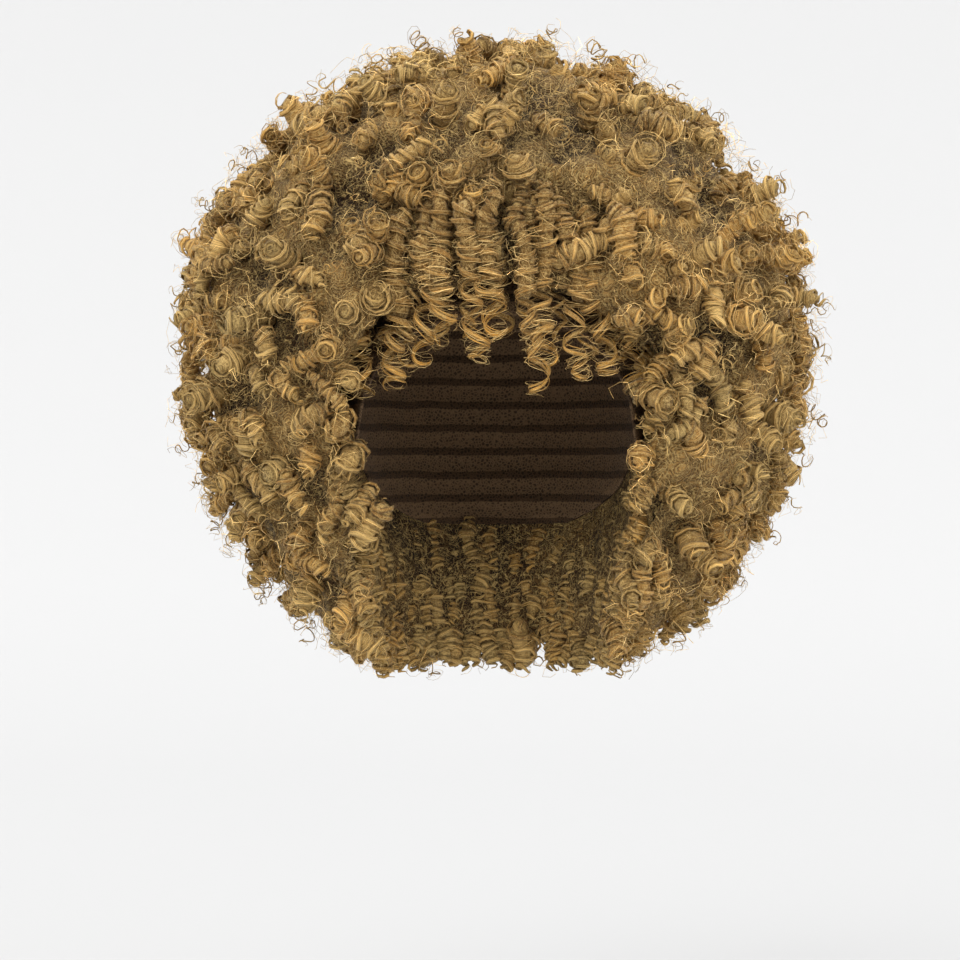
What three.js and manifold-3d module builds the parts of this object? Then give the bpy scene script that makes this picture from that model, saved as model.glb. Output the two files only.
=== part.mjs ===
// An afro wig with a curled fringe, in the shape it has when worn
// Millimetres, +Z up, the face opening looks along -Y and +X is the viewer's right.
// The origin is the point inside the cap that rests on the crown of the head.
// Azimuths turn round the Z axis: 0 at the face, 90 at +X and 180 at the back.
import * as THREE from "three";
import { mergeVertices } from "three/addons/utils/BufferGeometryUtils.js";
import Module from "manifold-3d";

// The head that the wig is made for
const HEAD_WIDTH = 150;
const HEAD_LENGTH = 190;
const HEAD_DROP = 218; // from the crown down to the middle of the neck

// The cap that the hair is sewn to
const CAP_WALL = 1.6;

// The hair, to the ends of its locks
const HAIR_TOP = 107; // above the crown
const HAIR_DROP = 217; // below the crown
const HAIR_WIDTH = 328;
const HAIR_FRONT = 142; // from the middle of the head forward
const HAIR_BACK = 172;
const PIECE_GAP = 0.3;

// The arched opening for the face, measured as seen from the front
const FACE_WIDTH = 143;
const FACE_WIDEST = -97; // height of the widest level
const FACE_TOP = -26;
const JAW_WIDTH = 110;
const JAW_LEVEL = -178;
const ARCH_POWER = 2.5; // 2 is an ellipse, more is squarer

// The clumps of curls on the outside of the hair
const LOCK_ROWS = 10; // from the top of the hair down to its underside
const LOCK_WIDTH = 42;
const LOCK_RISE = 17;
const LOCK_SINK = 6;
const LOCK_SIDES = 5;
const LOCK_DROOP = 0.55; // how far a lock of the lower half hangs instead of standing out
const LOCK_SPLAY = 0.22; // how far locks lean out of line

// The corkscrews of the fringe and the strip that carries them
const CURL_WIDTH = 13.5;
const CURL_CORE = 9.6;
const CURL_PITCH = 10;
const CURL_STANDOFF = 14; // from the forehead to the middle of a corkscrew
const FRINGE_SPREAD = 122;
const FRINGE_DROP = 77; // from the crown down to the lowest tips
const STRIP_WIDTH = 10;
const STRIP_THICKNESS = 3;

const HEAD_FACETS = 24; // round the head
const HAIR_FACETS = 16; // round the hair
const FAR = 420; // past everything

// The head from the crown down, as shares of its drop, half width and half length
const HEAD_OUTLINE = [
  { drop: 0.0, side: 0.16, front: 0.16, back: 0.16 },
  { drop: 0.02, side: 0.36, front: 0.36, back: 0.36 },
  { drop: 0.06, side: 0.59, front: 0.59, back: 0.6 },
  { drop: 0.13, side: 0.81, front: 0.8, back: 0.82 },
  { drop: 0.22, side: 0.95, front: 0.94, back: 0.95 },
  { drop: 0.33, side: 1.0, front: 1.0, back: 1.0 },
  { drop: 0.48, side: 0.97, front: 0.99, back: 0.98 },
  { drop: 0.62, side: 0.89, front: 0.95, back: 0.86 },
  { drop: 0.76, side: 0.78, front: 0.86, back: 0.7 },
  { drop: 1.0, side: 0.74, front: 0.6, back: 0.62 },
  { drop: 1.4, side: 0.74, front: 0.6, back: 0.62 },
];

// The hair from its top down, as shares of its height, half width, reach forward and reach back
const HAIR_OUTLINE = [
  { drop: 0.0, side: 0.16, front: 0.16, back: 0.16 },
  { drop: 0.05, side: 0.44, front: 0.45, back: 0.43 },
  { drop: 0.13, side: 0.69, front: 0.7, back: 0.67 },
  { drop: 0.24, side: 0.87, front: 0.89, back: 0.84 },
  { drop: 0.35, side: 0.97, front: 0.99, back: 0.94 },
  { drop: 0.48, side: 1.0, front: 1.0, back: 1.0 },
  { drop: 0.62, side: 0.98, front: 0.9, back: 0.99 },
  { drop: 0.75, side: 0.89, front: 0.78, back: 0.89 },
  { drop: 0.87, side: 0.73, front: 0.68, back: 0.73 },
  { drop: 0.96, side: 0.52, front: 0.54, back: 0.52 },
  { drop: 1.0, side: 0.36, front: 0.4, back: 0.36 },
];

// The lower edge of the cap seen from the side: the reach from the middle of the head as a share of half its
// length, forward negative, and the drop below the crown as a share of the head's drop
const CAP_EDGE = [
  { reach: -1.3, drop: 0.14 },
  { reach: -0.93, drop: 0.15 },
  { reach: -0.72, drop: 0.24 },
  { reach: -0.5, drop: 0.36 },
  { reach: -0.36, drop: 0.46 },
  { reach: -0.22, drop: 0.46 },
  { reach: -0.08, drop: 0.36 },
  { reach: 0.16, drop: 0.4 },
  { reach: 0.42, drop: 0.56 },
  { reach: 0.7, drop: 0.64 },
  { reach: 1.3, drop: 0.66 },
];

// The sections of the hair: from and to in azimuth, and the first and last row of locks in each
const HAIR_SECTIONS = [
  { name: "crown_hair", from: 0, to: 360, first: 0, last: 2 },
  { name: "front_hair", from: -45, to: 45, first: 3, last: 5 },
  { name: "right_upper_hair", from: 45, to: 135, first: 3, last: 5 },
  { name: "back_upper_hair", from: 135, to: 225, first: 3, last: 5 },
  { name: "left_upper_hair", from: 225, to: 315, first: 3, last: 5 },
  { name: "right_lower_hair", from: 0, to: 135, first: 6, last: LOCK_ROWS },
  { name: "back_lower_hair", from: 135, to: 225, first: 6, last: LOCK_ROWS },
  { name: "left_lower_hair", from: 225, to: 360, first: 6, last: LOCK_ROWS },
];

// The fringe from left to right: the place as a share of half the spread, the reach down as a share of the
// fringe's drop, the width as a share of the usual one, and how far the tip swings sideways, in millimetres
const FRINGE = [
  { place: -1.0, reach: 1.0, width: 1.0, swing: -4 },
  { place: -0.8, reach: 0.99, width: 1.05, swing: -2 },
  { place: -0.61, reach: 0.8, width: 1.0, swing: 3 },
  { place: -0.42, reach: 0.68, width: 1.0, swing: -3 },
  { place: -0.22, reach: 0.77, width: 0.95, swing: 2 },
  { place: -0.02, reach: 0.62, width: 1.0, swing: -1 },
  { place: 0.18, reach: 0.98, width: 0.85, swing: 3 },
  { place: 0.4, reach: 0.79, width: 1.0, swing: -1 },
  { place: 0.6, reach: 0.88, width: 0.95, swing: 4 },
  { place: 0.8, reach: 0.86, width: 1.0, swing: 2 },
  { place: 1.0, reach: 0.93, width: 1.0, swing: 4 },
];

const materials = {
  hair: new THREE.MeshStandardMaterial({ color: 0x86683c, roughness: 0.8, metalness: 0 }),
  fringe: new THREE.MeshStandardMaterial({ color: 0xa37a3e, roughness: 0.75, metalness: 0 }),
  cap: new THREE.MeshStandardMaterial({ color: 0x2a1e15, roughness: 0.95, metalness: 0 }),
};

const wasm = await Module();
wasm.setup();

const radians = THREE.MathUtils.degToRad;

// A closed geometry as a body that can be joined and cut
function body(geometry) {
  geometry.deleteAttribute("normal");
  geometry.deleteAttribute("uv");
  const merged = mergeVertices(geometry, 0.001);
  const mesh = new wasm.Mesh({
    numProp: 3,
    vertProperties: new Float32Array(merged.attributes.position.array),
    triVerts: new Uint32Array(merged.index.array),
  });
  return new wasm.Manifold(mesh);
}

// A named mesh from a joined body
function finish(name, shape, material) {
  const data = shape.getMesh();
  const geometry = new THREE.BufferGeometry();
  geometry.setAttribute("position", new THREE.BufferAttribute(new Float32Array(data.vertProperties), 3));
  geometry.setIndex(new THREE.BufferAttribute(new Uint32Array(data.triVerts), 1));
  geometry.computeVertexNormals();
  const mesh = new THREE.Mesh(geometry, material.clone());
  mesh.name = name;
  return mesh;
}

// A closed body from rings of points, each ring turning the same way as seen from the end it starts at
function loft(rings) {
  const positions = rings.flat().flatMap((point) => [point.x, point.y, point.z]);
  const sides = rings[0].length;
  const index = [];
  for (let ring = 0; ring + 1 < rings.length; ring++) {
    for (let side = 0; side < sides; side++) {
      const here = ring * sides + side;
      const next = ring * sides + (side + 1) % sides;
      index.push(here, next, next + sides);
      index.push(here, next + sides, here + sides);
    }
  }
  const last = (rings.length - 1) * sides;
  for (let side = 1; side + 1 < sides; side++) {
    index.push(0, side + 1, side);
    index.push(last, last + side, last + side + 1);
  }
  const geometry = new THREE.BufferGeometry();
  geometry.setAttribute("position", new THREE.Float32BufferAttribute(positions, 3));
  geometry.setIndex(index);
  return body(geometry);
}

// The point of a ring at an azimuth, with its own reach sideways, forward and back
function ringPoint(azimuth, height, side, front, back) {
  const turn = radians(azimuth);
  const along = Math.cos(turn);
  return new THREE.Vector3(side * Math.sin(turn), -along * (along > 0 ? front : back), height);
}

function ring(height, side, front, back) {
  const points = [];
  for (let facet = 0; facet < HEAD_FACETS; facet++) {
    points.push(ringPoint((-360 * facet) / HEAD_FACETS, height, side, front, back));
  }
  return points;
}

// The head and neck, larger all round by an offset
function headForm(offset) {
  const side = HEAD_WIDTH / 2 + offset;
  const length = HEAD_LENGTH / 2 + offset;
  return loft(HEAD_OUTLINE.map((row) => (
    ring(offset - row.drop * HEAD_DROP, side * row.side, length * row.front, length * row.back)
  )));
}

// A flat outline in the plane seen from the side, reaching through the whole wig from left to right
function sideProfile(points) {
  const shape = new THREE.Shape(points.map(([forward, height]) => new THREE.Vector2(forward, height)));
  const geometry = new THREE.ExtrudeGeometry(shape, { depth: 2 * FAR, bevelEnabled: false });
  geometry.rotateX(Math.PI / 2);
  geometry.rotateZ(Math.PI / 2);
  geometry.translate(-FAR, 0, 0);
  return body(geometry);
}

function cap() {
  const edge = CAP_EDGE.map((row) => [(row.reach * HEAD_LENGTH) / 2, -row.drop * HEAD_DROP]);
  const under = [[-FAR, edge[0][1]], [-FAR, -FAR], [FAR, -FAR], [FAR, edge.at(-1)[1]]];
  const below = sideProfile([...under, ...edge.reverse()]);
  return finish("wig_cap", headForm(CAP_WALL).subtract(headForm(0)).subtract(below), materials.cap);
}

// The face opening as a body from the middle of the head forward, smaller all round by an inset
function faceOpening(inset) {
  const widest = FACE_WIDTH / 2 - inset;
  const jaw = JAW_WIDTH / 2 - inset;
  const rise = FACE_TOP - FACE_WIDEST - inset;
  const points = [[jaw, -FAR], [jaw, JAW_LEVEL]];
  for (let angle = 0; angle <= 180; angle += 15) {
    const turn = radians(angle);
    const across = Math.sign(90 - angle) * Math.abs(Math.cos(turn)) ** (2 / ARCH_POWER);
    points.push([widest * across, FACE_WIDEST + rise * Math.abs(Math.sin(turn)) ** (2 / ARCH_POWER)]);
  }
  points.push([-jaw, JAW_LEVEL], [-jaw, -FAR]);
  const shape = new THREE.Shape(points.map(([across, height]) => new THREE.Vector2(across, height)));
  const geometry = new THREE.ExtrudeGeometry(shape, { depth: FAR, bevelEnabled: false });
  geometry.rotateX(Math.PI / 2);
  return body(geometry);
}

// A value read off a table between its rows
function between(rows, drop, column) {
  const after = Math.max(1, rows.findIndex((row) => row.drop >= drop));
  const low = rows[after - 1];
  const high = rows[after];
  return THREE.MathUtils.mapLinear(drop, low.drop, high.drop, low[column], high[column]);
}

// A point on the hair under its locks, at an azimuth and a share of the hair's height
function hairPoint(azimuth, drop) {
  const height = HAIR_TOP - LOCK_RISE - drop * (HAIR_TOP + HAIR_DROP - 1.7 * LOCK_RISE);
  const side = (HAIR_WIDTH / 2 - LOCK_RISE) * between(HAIR_OUTLINE, drop, "side");
  const front = (HAIR_FRONT - LOCK_RISE) * between(HAIR_OUTLINE, drop, "front");
  const back = (HAIR_BACK - LOCK_RISE) * between(HAIR_OUTLINE, drop, "back");
  return ringPoint(azimuth, height, side, front, back);
}

// The whole hair without its locks
function hairForm() {
  return loft(HAIR_OUTLINE.map((row) => {
    const points = [];
    for (let facet = 0; facet < HAIR_FACETS; facet++) {
      points.push(hairPoint((-360 * facet) / HAIR_FACETS, row.drop));
    }
    return points;
  }));
}

// A number from -1 to 1 that is always the same for the same lock
function scatter(seed) {
  const value = Math.sin(seed * 127.1 + 11.7) * 4375.85;
  return 2 * (value - Math.floor(value)) - 1;
}

// The direction straight out of the hair at a point on it
function outward(azimuth, drop) {
  const step = 0.02;
  const low = Math.max(drop - step, 0.001);
  const high = Math.min(drop + step, 0.999);
  const down = hairPoint(azimuth, high).sub(hairPoint(azimuth, low));
  const round = hairPoint(azimuth + 3, drop).sub(hairPoint(azimuth - 3, drop));
  return down.cross(round).normalize();
}

// How far down the hair a row of locks lies, with all rows evenly spaced along the hair's side
function rowDrop(row) {
  const steps = 200;
  const lengths = [0];
  for (let step = 1; step <= steps; step++) {
    const part = hairPoint(90, step / steps).distanceTo(hairPoint(90, (step - 1) / steps));
    lengths.push(lengths.at(-1) + part);
  }
  const wanted = (lengths.at(-1) * (row + 0.5)) / LOCK_ROWS;
  return Math.min(lengths.findIndex((length) => length >= wanted) / steps, 0.985);
}

// Where the locks of a row are rooted: evenly spaced round it, and out of step with the row above
function rowRoots(row) {
  const drop = rowDrop(row);
  const spacing = (rowDrop(4) - rowDrop(3)) * (HAIR_TOP + HAIR_DROP) * 1.12;
  const reach = (hairPoint(90, drop).x + hairPoint(180, drop).y) / 2;
  const count = Math.max(3, Math.round((2 * Math.PI * reach) / spacing));
  const roots = [];
  for (let place = 0; place < count; place++) {
    const seed = 100 * row + place + 1;
    const shift = 0.5 * (row % 2) + 0.16 * scatter(seed);
    roots.push({ azimuth: (360 * (place + shift)) / count, drop: drop, row: row, seed: seed });
  }
  return roots;
}

// One lock: it narrows from its root to a blunt end
function lock(root) {
  const out = outward(root.azimuth, root.drop);
  const hang = LOCK_DROOP * THREE.MathUtils.clamp((root.drop - 0.3) / 0.5, 0, 1);
  const [x, y, z] = [0.3, 0.5, 0.7].map((part) => LOCK_SPLAY * scatter(root.seed + part));
  const along = out.clone().add(new THREE.Vector3(x, y, z - hang)).normalize();
  const across = new THREE.Vector3(0, 0, 1).cross(along).normalize();
  const up = along.clone().cross(across);
  const size = 1 + 0.16 * scatter(root.seed + 0.9);
  const base = hairPoint(root.azimuth, root.drop).addScaledVector(out, -LOCK_SINK);
  const rings = [
    { along: 0, width: 1.0 },
    { along: LOCK_SINK + LOCK_RISE * size, width: 0.56 },
  ].map((row) => {
    const points = [];
    for (let side = 0; side < LOCK_SIDES; side++) {
      const turn = (2 * Math.PI * side) / LOCK_SIDES + root.seed;
      const radius = (LOCK_WIDTH / 2) * row.width * size;
      points.push(base.clone()
        .addScaledVector(along, row.along)
        .addScaledVector(across, radius * Math.cos(turn))
        .addScaledVector(up, radius * Math.sin(turn)));
    }
    return points;
  });
  return loft(rings);
}

// The height half way between two rows of locks, or far past the ends of the hair
function levelAbove(row) {
  if (row < 1 || row >= LOCK_ROWS) {
    return row < 1 ? FAR : -FAR;
  }
  return hairPoint(0, (rowDrop(row - 1) + rowDrop(row)) / 2).z;
}

// The part of space that a section of the hair takes up, clear of its neighbours by the gap
function sectionSpace(section) {
  const top = levelAbove(section.first) - PIECE_GAP / 2;
  const bottom = levelAbove(section.last + 1) + PIECE_GAP / 2;
  const shape = new THREE.Shape();
  const half = radians((section.to - section.from) / 2);
  const middle = radians((section.to + section.from) / 2);
  if (half > 3) {
    shape.absarc(0, 0, FAR, 0, 2 * Math.PI);
  } else {
    const apart = PIECE_GAP / 2 / Math.sin(half);
    const corner = new THREE.Vector2(apart * Math.sin(middle), -apart * Math.cos(middle));
    shape.moveTo(corner.x, corner.y);
    for (const share of [-1, -0.5, 0, 0.5, 1]) {
      const turn = middle + half * share;
      shape.lineTo(corner.x + FAR * Math.sin(turn), corner.y - FAR * Math.cos(turn));
    }
  }
  const settings = { depth: top - bottom, bevelEnabled: false, curveSegments: 8 };
  const geometry = new THREE.ExtrudeGeometry(shape, settings);
  geometry.translate(0, 0, bottom);
  return body(geometry);
}

// Whether a lock is rooted in a section, whichever turn its azimuth is counted in
function belongs(root, section) {
  const turned = THREE.MathUtils.euclideanModulo(root.azimuth - section.from, 360);
  return root.row >= section.first && root.row <= section.last && turned <= section.to - section.from;
}

// Whether a lock rooted at a point would stand in the face opening as seen from the front
function facesOpening(point) {
  if (point.y > 0 || point.z > FACE_TOP) {
    return false;
  }
  const level = THREE.MathUtils.clamp((FACE_WIDEST - point.z) / (FACE_WIDEST - JAW_LEVEL), 0, 1);
  const half = THREE.MathUtils.lerp(FACE_WIDTH, JAW_WIDTH, level) / 2;
  return Math.abs(point.x) < half + LOCK_WIDTH * 0.15;
}

// The same lock, moved up onto the hair over the forehead if it would hang just under the top of the opening
function raised(root) {
  const point = hairPoint(root.azimuth, root.drop);
  const lift = FACE_TOP + LOCK_WIDTH * 0.28 - point.z;
  if (!facesOpening(point) || lift > LOCK_WIDTH * 0.7) {
    return root;
  }
  return { ...root, drop: root.drop - lift / (HAIR_TOP + HAIR_DROP) };
}

// The hair: locks joined to a thick hollow form, cut into sections round the head
function hairSections() {
  const form = hairForm();
  const hollow = headForm(CAP_WALL + PIECE_GAP);
  const opening = faceOpening(0);
  const roots = Array.from({ length: LOCK_ROWS }, (_, row) => rowRoots(row)).flat().map(raised)
    .filter((root) => !facesOpening(hairPoint(root.azimuth, root.drop)));
  return HAIR_SECTIONS.map((section) => {
    const space = sectionSpace(section);
    const locks = roots.filter((root) => belongs(root, section)).map((root) => lock(root).intersect(space));
    const shape = locks.reduce((joined, one) => joined.add(one), form.intersect(space));
    return finish(section.name, shape.subtract(hollow).subtract(opening), materials.hair);
  });
}

// How far in front of the middle of the head the fringe hangs, at a place across the forehead
function fringeReach(across) {
  const drop = (0.75 * FRINGE_DROP) / HEAD_DROP;
  const side = (HEAD_WIDTH / 2) * between(HEAD_OUTLINE, drop, "side") + CURL_STANDOFF;
  const front = (HEAD_LENGTH / 2) * between(HEAD_OUTLINE, drop, "front") + CURL_STANDOFF;
  return front * Math.sqrt(1 - (across / side) ** 2);
}

// One corkscrew of the fringe, from under the front hair down to its tip
function corkscrew(row) {
  const place = (row.place * FRINGE_SPREAD) / 2;
  const top = FACE_TOP + 4;
  const bottom = -FRINGE_DROP * row.reach;
  const steps = Math.round((4 * (top - bottom)) / CURL_PITCH);
  const rings = [];
  for (let step = 0; step <= steps; step++) {
    const down = step / steps;
    const turn = (Math.PI / 2) * step + row.place * 7;
    const taper = row.width * (1 - 0.55 * down ** 4);
    const offset = ((CURL_WIDTH - CURL_CORE) / 2) * taper;
    const x = place + row.swing * down * down + offset * Math.cos(turn);
    const y = offset * Math.sin(turn) - fringeReach(place);
    const points = [];
    for (let side = 0; side < 5; side++) {
      const angle = (-2 * Math.PI * side) / 5;
      points.push(new THREE.Vector3(
        x + (CURL_CORE / 2) * taper * Math.cos(angle),
        y + (CURL_CORE / 2) * taper * Math.sin(angle),
        THREE.MathUtils.lerp(top, bottom, down),
      ));
    }
    rings.push(points);
  }
  return loft(rings);
}

// The band of space that the fringe hangs in: curved like the forehead as seen from above
function fringeBand() {
  const points = [];
  for (const side of [1, -1]) {
    for (let step = -6; step <= 6; step++) {
      const across = (side * step * FRINGE_SPREAD) / 12;
      points.push(new THREE.Vector2(across, -fringeReach(across) - (side * STRIP_WIDTH) / 2));
    }
  }
  const settings = { depth: FRINGE_DROP, bevelEnabled: false };
  const geometry = new THREE.ExtrudeGeometry(new THREE.Shape(points), settings);
  geometry.translate(0, 0, -FRINGE_DROP);
  return body(geometry);
}

// The sewn strip under the front hair, with the corkscrews hanging from it
function fringe() {
  const arch = faceOpening(PIECE_GAP);
  const strip = fringeBand().subtract(faceOpening(PIECE_GAP + STRIP_THICKNESS));
  const joined = FRINGE.reduce((shape, row) => shape.add(corkscrew(row)), strip);
  return finish("fringe", joined.intersect(arch), materials.fringe);
}

const wig = new THREE.Group();
wig.name = "afro_wig";
wig.add(cap(), ...hairSections(), fringe());

export default wig;
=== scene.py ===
# The looks of an afro wig of tight corkscrew curls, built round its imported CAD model.
# The frame is the CAD's. Shapes are worked out in millimetres and turned into metres where a mesh is made.
import math

import bmesh
import bpy
import numpy as np
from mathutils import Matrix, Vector
from mathutils import noise as bnoise
from mathutils.bvhtree import BVHTree


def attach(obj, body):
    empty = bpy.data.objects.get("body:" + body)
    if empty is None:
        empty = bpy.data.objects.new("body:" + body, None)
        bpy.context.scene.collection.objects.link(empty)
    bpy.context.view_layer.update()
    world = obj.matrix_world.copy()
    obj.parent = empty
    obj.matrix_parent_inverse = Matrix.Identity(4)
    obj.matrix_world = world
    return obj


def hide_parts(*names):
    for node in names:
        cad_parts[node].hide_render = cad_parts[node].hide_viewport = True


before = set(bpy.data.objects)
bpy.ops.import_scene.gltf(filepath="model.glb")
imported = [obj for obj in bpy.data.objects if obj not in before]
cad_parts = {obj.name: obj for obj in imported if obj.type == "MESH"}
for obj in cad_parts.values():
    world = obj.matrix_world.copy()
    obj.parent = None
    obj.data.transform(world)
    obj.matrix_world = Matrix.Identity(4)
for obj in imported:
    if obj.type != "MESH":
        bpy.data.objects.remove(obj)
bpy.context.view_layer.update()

MM = 0.001
rng = np.random.default_rng(20)

# Half the thickness of a loose fibre, and how far the tangle's surface lies inside the tips of the curls
FIBRE = 0.1
MASS_INSET = 17.0

# Named sizes, as in the part's source, in millimetres
HEAD_WIDTH, HEAD_LENGTH, HEAD_DROP = 150.0, 190.0, 218.0
CAP_WALL = 1.6
HAIR_TOP, HAIR_DROP, HAIR_WIDTH = 107.0, 217.0, 328.0
HAIR_FRONT, HAIR_BACK = 142.0, 172.0
FACE_WIDTH, FACE_WIDEST, FACE_TOP = 143.0, -97.0, -26.0
JAW_WIDTH, JAW_LEVEL, ARCH_POWER = 110.0, -178.0, 2.5
FRINGE_SPREAD, FRINGE_DROP = 122.0, 77.0
CROWN_LEVEL, LOWER_LEVEL = 26.7, -85.5

# Rows of outlines: how far down as a share of the height, then the shares of half width, front and back
HEAD_OUTLINE = np.array([
    (0.0, 0.16, 0.16, 0.16), (0.02, 0.36, 0.36, 0.36), (0.06, 0.59, 0.59, 0.6), (0.13, 0.81, 0.8, 0.82),
    (0.22, 0.95, 0.94, 0.95), (0.33, 1.0, 1.0, 1.0), (0.48, 0.97, 0.99, 0.98), (0.62, 0.89, 0.95, 0.86),
    (0.76, 0.78, 0.86, 0.7), (1.0, 0.74, 0.6, 0.62), (1.4, 0.74, 0.6, 0.62),
])
HAIR_OUTLINE = np.array([
    (0.0, 0.16, 0.16, 0.16), (0.05, 0.44, 0.45, 0.43), (0.13, 0.69, 0.7, 0.67), (0.24, 0.87, 0.89, 0.84),
    (0.35, 0.97, 0.99, 0.94), (0.48, 1.0, 1.0, 1.0), (0.62, 0.98, 0.9, 0.99), (0.75, 0.89, 0.78, 0.89),
    (0.87, 0.73, 0.68, 0.73), (0.96, 0.52, 0.54, 0.52), (1.0, 0.36, 0.4, 0.36),
])


def unit(v):
    return v / np.maximum(np.linalg.norm(v, axis=-1, keepdims=True), 1e-9)


def smooth(a, b, x):
    t = np.clip((x - a) / (b - a), 0, 1)
    return t * t * (3 - 2 * t)


def ring_point(az, z, side, front, back):
    """Points round the head at height z. The azimuth is 0 in front, at negative y, and 90 at positive x."""
    a = np.radians(az)
    along = np.cos(a)
    return np.stack([side * np.sin(a), -along * np.where(along > 0, front, back), z + 0 * a], -1)


def hair_surface(az, drop, inset):
    """Points on the hair's outside, as far inside its tips as inset says, in millimetres."""
    side, front, back = (np.interp(drop, HAIR_OUTLINE[:, 0], HAIR_OUTLINE[:, k]) for k in (1, 2, 3))
    z = HAIR_TOP - inset - drop * (HAIR_TOP + HAIR_DROP - 1.8 * inset)
    return ring_point(az, z, (HAIR_WIDTH / 2 - inset) * side, (HAIR_FRONT - inset) * front,
                      (HAIR_BACK - inset) * back)


def hair_normal(az, drop, inset):
    low, high = np.clip(drop - 0.02, 0.001, 1), np.clip(drop + 0.02, 0, 0.999)
    down = hair_surface(az, high, inset) - hair_surface(az, low, inset)
    round_ = hair_surface(az + 3, drop, inset) - hair_surface(az - 3, drop, inset)
    return unit(np.cross(down, round_))


def head_surface(az, drop, offset):
    """Points on the head that the wig is made for, moved out by offset."""
    side, front, back = (np.interp(drop, HEAD_OUTLINE[:, 0], HEAD_OUTLINE[:, k]) for k in (1, 2, 3))
    return ring_point(az, offset - drop * HEAD_DROP, (HEAD_WIDTH / 2 + offset) * side,
                      (HEAD_LENGTH / 2 + offset) * front, (HEAD_LENGTH / 2 + offset) * back)


def arch_half(z):
    """Half the face opening's width at a height, 0 above its top."""
    rise = np.clip((z - FACE_WIDEST) / (FACE_TOP - FACE_WIDEST), 0, 1)
    upper = FACE_WIDTH / 2 * np.maximum(1 - rise ** ARCH_POWER, 0) ** (1 / ARCH_POWER)
    level = np.clip((FACE_WIDEST - z) / (FACE_WIDEST - JAW_LEVEL), 0, 1)
    lower = (FACE_WIDTH + (JAW_WIDTH - FACE_WIDTH) * level) / 2
    return np.where(z > FACE_TOP, 0, np.where(z > FACE_WIDEST, upper, lower))


def in_opening(p, margin):
    return (p[..., 1] < 0) & (np.abs(p[..., 0]) < arch_half(p[..., 2] - margin) + margin)


def scatter_points(spacing, inset, tries, keep):
    """Evenly scattered places on the hair's outside: azimuths, drops, points."""
    steps = 400
    d = (np.arange(steps) + 0.5) / steps
    weights = []
    for x in d:
        a = hair_surface(np.array([0.0, 90.0, 180.0]), x, inset)
        b = hair_surface(np.array([0.0, 90.0, 180.0]), x + 0.5 / steps, inset)
        rim = (abs(a[1, 0]) + (abs(a[0, 1]) + abs(a[2, 1])) / 2) / 2
        weights.append(rim * np.linalg.norm(b[1] - a[1]))
    weights = np.array(weights) / np.sum(weights)
    drops = np.clip(rng.choice(d, tries, p=weights) + rng.uniform(-0.5, 0.5, tries) / steps, 0.002, 0.998)
    azs = rng.uniform(0, 360, tries)
    points = hair_surface(azs, drops, inset)
    ok = keep(points)
    azs, drops, points = azs[ok], drops[ok], points[ok]
    chosen = []
    kept = np.empty((0, 3))
    for i, p in enumerate(points):
        if len(kept) == 0 or np.min(np.sum((kept - p) ** 2, 1)) > spacing ** 2:
            kept = np.vstack([kept, p])
            chosen.append(i)
    return azs[chosen], drops[chosen], points[chosen]


def transport(tangents, first):
    """Two directions across each path (S, n, 3) that don't twist round it, starting from first."""
    u = unit(first - np.sum(first * tangents[:, 0], -1, keepdims=True) * tangents[:, 0])
    us = [u]
    for i in range(1, tangents.shape[1]):
        t = tangents[:, i]
        u = unit(u - np.sum(u * t, -1, keepdims=True) * t)
        us.append(u)
    us = np.stack(us, 1)
    return us, np.cross(tangents, us)


def bezier(p0, p1, p2, s):
    s = s[None, :, None]
    return (1 - s) ** 2 * p0[:, None] + 2 * s * (1 - s) * p1[:, None] + s ** 2 * p2[:, None]


def wobble(s, count, amount, waves):
    """Slow random wander along each strand, one value per point and axis."""
    total = np.zeros((count, len(s), 3))
    for w in waves:
        phase = rng.uniform(0, 2 * np.pi, (count, 1, 3))
        rate = w * rng.uniform(0.7, 1.3, (count, 1, 3))
        total += np.sin(2 * np.pi * rate * s[None, :, None] + phase) / w
    return amount * total


def add_object(name, data):
    ob = bpy.data.objects.new(name, data)
    bpy.context.scene.collection.objects.link(ob)
    return ob


def paint(me, colours):
    """Gives each point of a mesh its colour, in linear RGB."""
    tint = me.color_attributes.new("tint", "FLOAT_COLOR", "POINT")
    opaque = np.concatenate([colours, np.ones((len(colours), 1))], 1)
    tint.data.foreach_set("color", opaque.astype(np.float32).ravel())


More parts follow.
